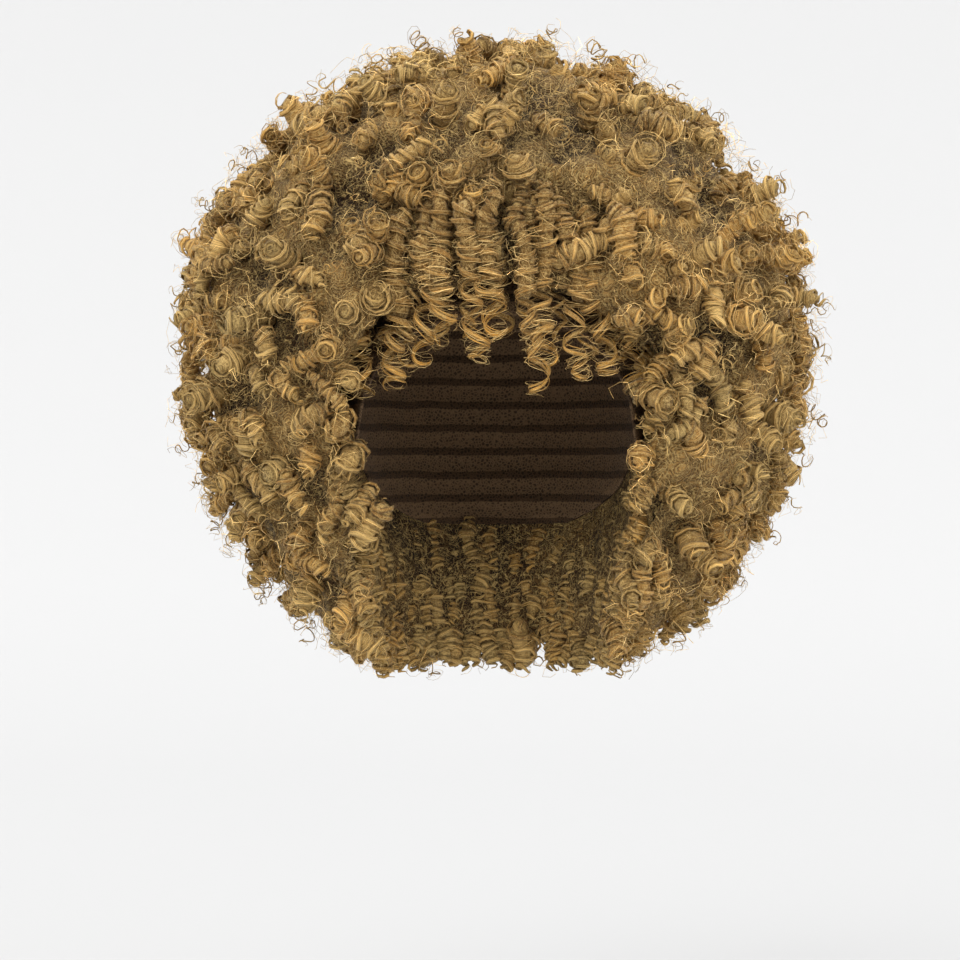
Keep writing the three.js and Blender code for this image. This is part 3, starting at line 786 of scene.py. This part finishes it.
def arch_form(name, margin):
    """The face opening, from the head's middle forward."""
    rising = FACE_WIDEST + (FACE_TOP - FACE_WIDEST) * np.sin(np.linspace(0, np.pi / 2, 14)[1:-1])
    z = np.concatenate([[-BEYOND], np.linspace(-180, FACE_WIDEST, 10), rising])
    half = arch_half(z) + margin
    right = np.stack([half, z], -1)
    top = np.array([[0.0, FACE_TOP + margin]])
    left = right[::-1] * np.array([-1, 1])
    outline = np.concatenate([right, top, left])
    x, z = outline.T
    return loft(name, [np.stack([x, np.full(len(x), y), z], -1) for y in (0.5, -BEYOND)])


def side_form(name, outline):
    """An outline of y and z, carried from side to side."""
    y, z = np.array(outline).T
    return loft(name, [np.stack([np.full(len(y), x), y, z], -1) for x in (-BEYOND, BEYOND)])


# How fine the tangle's lumps and ridges are, per metre, and where the pattern of the ridges starts
LUMP_SCALE, RIDGE_SCALE, RIDGE_SHIFT = 52, 95, Vector((7, 3, 1))


def roughen(ob, inner):
    """Pushes a mesh in and out in clumps and valleys, but not near inner, and colours it by height with
    painted shade: dark in the valleys and near inner, lighter on the clumps.
    """
    me = ob.data
    co, nrm = (np.empty((len(me.vertices), 3), np.float32) for _ in range(2))
    me.vertices.foreach_get("co", co.ravel())
    me.vertices.foreach_get("normal", nrm.ravel())
    tree = BVHTree.FromObject(inner, bpy.context.evaluated_depsgraph_get())
    room = np.array([tree.find_nearest(Vector(c))[3] for c in co]) / MM
    valley = clumps(co / MM)
    lump = np.array([bnoise.noise(Vector(c) * LUMP_SCALE) for c in co])
    ridge = np.array([1 - abs(bnoise.noise(Vector(c) * RIDGE_SCALE + RIDGE_SHIFT)) * 2.6 for c in co])
    height = 0.85 * valley + 0.5 * lump + 0.24 * ridge
    free = smooth(4, 14, room)
    push = np.where(height < 0.1, 1.1 * (height - 0.1), 0.4 * np.tanh((height - 0.1) / 0.4)) - 0.12
    co = co + nrm * (free * TANGLE_SWELL * MM * push)[:, None]
    me.vertices.foreach_set("co", co.astype(np.float32).ravel())
    # Painted shade: low places, and places near the head, get a dark brown; high ones the hair's own colour.
    lift = (smooth(-0.35, 0.42, height) * (0.35 + 0.65 * free))[:, None]
    colour = ROOT_SHADE * 0.6 * (1 - lift) + (MIDDLE * 0.44 + KHAKI * 0.42) * lift
    colour = colour * (1 - BROW_SHADE_BELOW * over_brow(co / MM))[:, None]
    paint(me, colour)
    me.update()


def smoothed(ob):
    for poly in ob.data.polygons:
        poly.use_smooth = True
    return ob


# How far the tangle is pushed in and out at most, the size of its faces and its gaps to the head and the face
TANGLE_SWELL, TANGLE_FACE, TANGLE_HEAD_GAP, TANGLE_FACE_GAP = 15, 4.9, 2.2, 8.0


def tangle_form():
    """The frizz under the curls: the hair's own form, further in, hollowed for the head and the face."""
    head, arch = head_form("head", TANGLE_HEAD_GAP), arch_form("face", TANGLE_FACE_GAP)
    az = np.arange(HAIR_SIDES) * 360.0 / HAIR_SIDES
    body = loft("under_curls", [recess(hair_surface(az, d, MASS_INSET)) for d in np.linspace(0, 1, 40)])
    cut(body, head, arch)
    remesh = body.modifiers.new("remesh", "REMESH")
    remesh.mode = "VOXEL"
    remesh.voxel_size = TANGLE_FACE * MM
    applied(body)
    roughen(body, head)
    for ob in (head, arch):
        bpy.data.objects.remove(ob)
    return smoothed(body)


# The cap's edge seen from the side: places from front to back as shares of half the head's length, and drops
CAP_EDGE = [
    (-1.3, 0.14), (-0.93, 0.15), (-0.72, 0.24), (-0.5, 0.36), (-0.36, 0.46), (-0.22, 0.46),
    (-0.08, 0.36), (0.16, 0.4), (0.42, 0.56), (0.7, 0.64), (1.3, 0.66),
]


def cap_form():
    """The thin cap on the head, down to its edge."""
    edge = [(a * HEAD_LENGTH / 2, -b * HEAD_DROP) for a, b in CAP_EDGE]
    corners = [(-BEYOND, edge[0][1]), (-BEYOND, -BEYOND), (BEYOND, -BEYOND), (BEYOND, edge[-1][1])]
    below = side_form("below", corners + edge[::-1])
    hollow = head_form("hollow", 0.0)
    shell = cut(head_form("wig_cap_net", CAP_WALL), hollow, below)
    for ob in (below, hollow):
        bpy.data.objects.remove(ob)
    return smoothed(shell)


tangle = tangle_form()
cap = cap_form()


# Materials. Sizes in them are in metres, and the scales of noise are per metre.
def nodes_of(name):
    mat = bpy.data.materials.new(name)
    mat.use_nodes = True
    tree = mat.node_tree
    return mat, tree.nodes, tree.links, tree.nodes["Principled BSDF"]


def node_with(nodes, kind, **inputs):
    """A new node of a kind, with the inputs that are named set to their values."""
    node = nodes.new(kind)
    for name, value in inputs.items():
        node.inputs[name].default_value = value
    return node


def feed(links, socket, value):
    """Links another node's output to a socket, or gives the socket a plain value."""
    if isinstance(value, bpy.types.NodeSocket):
        links.new(value, socket)
    else:
        socket.default_value = value


def math_node(nodes, links, operation, *values):
    node = nodes.new("ShaderNodeMath")
    node.operation = operation
    for socket, value in zip(node.inputs, values):
        feed(links, socket, value)
    return node.outputs[0]


def mix_node(nodes, links, factor, a, b, blend="MIX"):
    node = nodes.new("ShaderNodeMix")
    node.data_type = "RGBA"
    node.blend_type = blend
    feed(links, node.inputs["Factor"], factor)
    feed(links, node.inputs["A"], a)
    feed(links, node.inputs["B"], b)
    return node.outputs["Result"]


def ramp_node(nodes, links, value, *stops):
    """The colour for a value, from stops of a position and a colour in linear RGB."""
    node = nodes.new("ShaderNodeValToRGB")
    elements = node.color_ramp.elements
    for i, (position, colour) in enumerate(stops):
        element = elements[i] if i < 2 else elements.new(position)
        element.position = position
        element.color = (*colour, 1)
    links.new(value, node.inputs["Fac"])
    return node.outputs["Color"]


def bump_node(nodes, links, height, strength, distance):
    node = node_with(nodes, "ShaderNodeBump", Strength=strength, Distance=distance)
    links.new(height, node.inputs["Height"])
    return node.outputs["Normal"]


def tint_node(nodes):
    """The colour that each mesh holds for its points."""
    node = nodes.new("ShaderNodeAttribute")
    node.attribute_name = "tint"
    return node.outputs["Color"]


SPECULAR = 0.2
HAIR_SHEEN = (1.0, 0.9, 0.66, 1)


def surface(links, shader, colour, normal, roughness, sheen):
    links.new(colour, shader.inputs["Base Color"])
    links.new(normal, shader.inputs["Normal"])
    shader.inputs["Roughness"].default_value = roughness
    shader.inputs["Specular IOR Level"].default_value = SPECULAR
    shader.inputs["Sheen Weight"].default_value = sheen


def frizz(nodes, links, scales, width):
    """Thin curling lines at several sizes: the light fibres of frizz, as a value from 0 to 1."""
    coords = nodes.new("ShaderNodeTexCoord")
    lines = None
    for i, scale in enumerate(scales):
        noise = node_with(nodes, "ShaderNodeTexNoise", Scale=scale, Detail=1.0, Roughness=0.5,
                          Distortion=1.2)
        noise.noise_dimensions = "4D"
        noise.inputs["W"].default_value = 3.1 * i
        links.new(coords.outputs["Object"], noise.inputs["Vector"])
        line = ramp_node(nodes, links, noise.outputs["Fac"], (0.5 - width, (0, 0, 0)), (0.5, (1, 1, 1)),
                         (0.5 + width, (0, 0, 0)))
        lines = line if lines is None else math_node(nodes, links, "MAXIMUM", lines, line)
    return lines


# Streaks: their colours where they are dark and light, as factors, and how high they stand
STREAK_DARK, STREAK_LIGHT, STREAK_HEIGHT = (0.3, 0.25, 0.19), (1.5, 1.5, 1.46), 0.0004


def hair_material(name, roughness, streak, bump, stray=0.0):
    """Strand colours times fine streaks that run along each strand, with stray pale fibres across them."""
    mat, nodes, links, shader = nodes_of(name)
    uv = nodes.new("ShaderNodeUVMap")
    uv.uv_map = "strand"
    stretch = node_with(nodes, "ShaderNodeMapping", Scale=(*streak, 1))
    noise = node_with(nodes, "ShaderNodeTexNoise", Scale=1.0, Detail=2.0, Roughness=0.7)
    links.new(uv.outputs["UV"], stretch.inputs["Vector"])
    links.new(stretch.outputs["Vector"], noise.inputs["Vector"])
    streaks = ramp_node(nodes, links, noise.outputs["Fac"], (0.4, STREAK_DARK), (0.6, STREAK_LIGHT))
    colour = mix_node(nodes, links, 1.0, tint_node(nodes), streaks, "MULTIPLY")
    if stray:
        lines = frizz(nodes, links, (160.0, 240.0, 350.0), 0.026)
        amount = math_node(nodes, links, "MULTIPLY", lines, stray)
        colour = mix_node(nodes, links, amount, colour, (*(KHAKI * 1.1), 1))
    normal = bump_node(nodes, links, noise.outputs["Fac"], bump, STREAK_HEIGHT)
    surface(links, shader, colour, normal, roughness, 0.12)
    shader.inputs["Sheen Roughness"].default_value = 0.45
    shader.inputs["Sheen Tint"].default_value = HAIR_SHEEN
    return mat


def tangle_material():
    """Frizz seen from outside: soft swirls of fibres with fine pale lines across them."""
    mat, nodes, links, shader = nodes_of("tangled_hair")
    coords = nodes.new("ShaderNodeTexCoord")
    stir = node_with(nodes, "ShaderNodeTexNoise", Scale=90.0, Detail=2.0)
    shift = nodes.new("ShaderNodeVectorMath")
    shift.operation = "MULTIPLY_ADD"
    shift.inputs[1].default_value = (0.009, 0.009, 0.009)
    cells = node_with(nodes, "ShaderNodeTexVoronoi", Scale=78.0)
    links.new(coords.outputs["Object"], stir.inputs["Vector"])
    links.new(stir.outputs["Color"], shift.inputs[0])
    links.new(coords.outputs["Object"], shift.inputs[2])
    links.new(shift.outputs["Vector"], cells.inputs["Vector"])

    # Each cell is a swirl: a ball with rings round its middle, painted lighter in its middle and darker at
    # its edge as painted shade
    far = cells.outputs["Distance"]
    phase = math_node(nodes, links, "MULTIPLY_ADD", far, 62.0, 0.0)
    phase = math_node(nodes, links, "MULTIPLY_ADD", stir.outputs["Fac"], 14.0, phase)
    ring = math_node(nodes, links, "MULTIPLY_ADD", math_node(nodes, links, "SINE", phase), 0.5, 0.5)
    ball = math_node(nodes, links, "SUBTRACT", 1.0, math_node(nodes, links, "MULTIPLY", far, far))
    lines = frizz(nodes, links, (150.0, 230.0, 340.0), 0.028)

    # Painted shade: each ball is lighter in its middle and darker towards its edge.
    shade = ramp_node(nodes, links, far, (0.1, (1.15, 1.1, 1.0)), (0.75, (0.5, 0.46, 0.4)))
    colour = mix_node(nodes, links, 1.0, tint_node(nodes), shade, "MULTIPLY")
    between = math_node(nodes, links, "SUBTRACT", 1.0, ring)
    colour = mix_node(nodes, links, between, colour, (0.36, 0.31, 0.25, 1), "MULTIPLY")
    amount = math_node(nodes, links, "MULTIPLY", lines, 0.75)
    colour = mix_node(nodes, links, amount, colour, (*(KHAKI * 1.2), 1))
    height = math_node(nodes, links, "MULTIPLY_ADD", ring, 0.12, ball)
    height = math_node(nodes, links, "MULTIPLY_ADD", lines, 0.12, height)
    surface(links, shader, colour, bump_node(nodes, links, height, 1.0, 0.004), 0.7, 0.05)
    shader.inputs["Sheen Roughness"].default_value = 0.5
    shader.inputs["Sheen Tint"].default_value = HAIR_SHEEN
    return mat


def cap_material():
    """A fine net with sewn rows of hair across it."""
    mat, nodes, links, shader = nodes_of("cap_net")
    coords = nodes.new("ShaderNodeTexCoord")
    cells = node_with(nodes, "ShaderNodeTexVoronoi", Scale=620.0)
    cells.feature = "DISTANCE_TO_EDGE"
    rows = node_with(nodes, "ShaderNodeTexWave", Scale=26.0, Distortion=0.6)
    rows.inputs["Detail Scale"].default_value = 2.0
    rows.bands_direction = "Z"
    links.new(coords.outputs["Object"], cells.inputs["Vector"])
    links.new(coords.outputs["Object"], rows.inputs["Vector"])
    net = ramp_node(nodes, links, cells.outputs["Distance"], (0.08, linear(116, 92, 66)),
                    (0.3, linear(66, 50, 34)))
    tape = ramp_node(nodes, links, rows.outputs["Fac"], (0.72, (1, 1, 1)), (0.82, (0.42, 0.38, 0.34)))
    colour = mix_node(nodes, links, 1.0, net, tape, "MULTIPLY")
    height = math_node(nodes, links, "SUBTRACT", rows.outputs["Fac"], cells.outputs["Distance"])
    surface(links, shader, colour, bump_node(nodes, links, height, 0.8, 0.001), 0.85, 0.04)
    return mat


def place(ob, slot, material, *nodes):
    ob.data.materials.clear()
    ob.data.materials.append(material)
    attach(ob, "root")
    if nodes:
        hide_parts(*nodes)
    return ob


curl_material = hair_material("curls", 0.65, (1.6, 18.0), 1.0, 0.7)
wisp_material = hair_material("fine_hair", 0.55, (4.0, 1.0), 0.1)
for name in SECTIONS:
    place(stores[name].build(name + "_curls"), "curls", curl_material, name + "_hair")
    place(fuzz[name].build(name + "_fine_hair"), "curls", wisp_material)
place(fringe.build("fringe_curls"), "fringe_curls", curl_material, "fringe")
place(fringe_fuzz.build("fringe_fine_hair"), "fringe_curls", wisp_material)
place(tangle, "curls", tangle_material())
place(cap, "cap_net", cap_material(), "wig_cap")


# Floor that curves up all round, in metres. It is a little darker in the middle, where the lamps shine most.
FLOOR_Z, FLAT_RADIUS, FLOOR_RADIUS, RIM_HEIGHT = -0.42, 2.2, 4.4, 1.9
FLOOR_SIDES = 96
FLOOR_GREYS = ((0.12, (0.56, 0.56, 0.56)), (0.62, (0.69, 0.69, 0.69)))


def floor_form():
    profile = [(0.02, 0.0), (1.0, 0.0), (FLAT_RADIUS, 0.0)]
    for degrees in np.linspace(0, 80, 12)[1:]:
        turn = math.radians(degrees)
        radius = FLAT_RADIUS + (FLOOR_RADIUS - FLAT_RADIUS) * math.sin(turn)
        profile.append((radius, RIM_HEIGHT * (1 - math.cos(turn))))
    sides = [2 * math.pi * k / FLOOR_SIDES for k in range(FLOOR_SIDES)]
    verts = [(r * math.cos(a), r * math.sin(a), FLOOR_Z + h) for r, h in profile for a in sides]
    faces = []
    for i in range(len(profile) - 1):
        for k in range(FLOOR_SIDES):
            first, second = i * FLOOR_SIDES + k, i * FLOOR_SIDES + (k + 1) % FLOOR_SIDES
            faces.append((first, second, second + FLOOR_SIDES, first + FLOOR_SIDES))
    faces.append(tuple(reversed(range(FLOOR_SIDES))))
    me = bpy.data.meshes.new("floor")
    me.from_pydata(verts, [], faces)
    return smoothed(add_object("floor", me))


def backdrop():
    ob = floor_form()
    mat, nodes, links, shader = nodes_of("pale_floor")
    coords = nodes.new("ShaderNodeTexCoord")
    outward = nodes.new("ShaderNodeVectorMath")
    outward.operation = "LENGTH"
    links.new(coords.outputs["Object"], outward.inputs[0])
    distance = math_node(nodes, links, "MULTIPLY", outward.outputs["Value"], 0.2)
    links.new(ramp_node(nodes, links, distance, *FLOOR_GREYS), shader.inputs["Base Color"])
    shader.inputs["Roughness"].default_value = 0.9
    ob.data.materials.append(mat)


def area_light(name, where, aim, size, power):
    data = bpy.data.lights.new(name, "AREA")
    data.shape = "DISK"
    data.size = size
    data.energy = power
    ob = add_object(name, data)
    ob.location = where
    ob.rotation_euler = (Vector(aim) - Vector(where)).to_track_quat("-Z", "Y").to_euler()


# Place, aim, width in metres and power in watts of each lamp, and the light from all round
LAMPS = {
    "key": ((-0.8, -2.2, 1.4), (0, 0, -0.05), 1.6, 24),
    "fill": ((1.6, -1.9, 0.5), (0, 0, -0.05), 1.8, 11),
    "top": ((0.0, 0.3, 2.0), (0, 0, 0), 1.6, 10),
}
WORLD_STRENGTH = 1.32

backdrop()
for name, lamp in LAMPS.items():
    area_light(name, *lamp)
world = bpy.data.worlds.new("studio")
world.use_nodes = True
background = world.node_tree.nodes["Background"].inputs
background["Color"].default_value = (1, 1, 1, 1)
background["Strength"].default_value = WORLD_STRENGTH
bpy.context.scene.world = world
bpy.context.scene.view_settings.view_transform = "Standard"

# Level with the chin, straight in front
CAMERA_PLACE, CAMERA_LENS, CAMERA_SENSOR = (-0.008, -2.0, -0.1175), 150, 36
camera = bpy.data.cameras.new("camera")
camera.sensor_width = CAMERA_SENSOR
camera.lens = CAMERA_LENS
camera_ob = add_object("camera", camera)
camera_ob.location = CAMERA_PLACE
camera_ob.rotation_euler = (math.pi / 2, 0, 0)
bpy.context.scene.camera = camera_ob
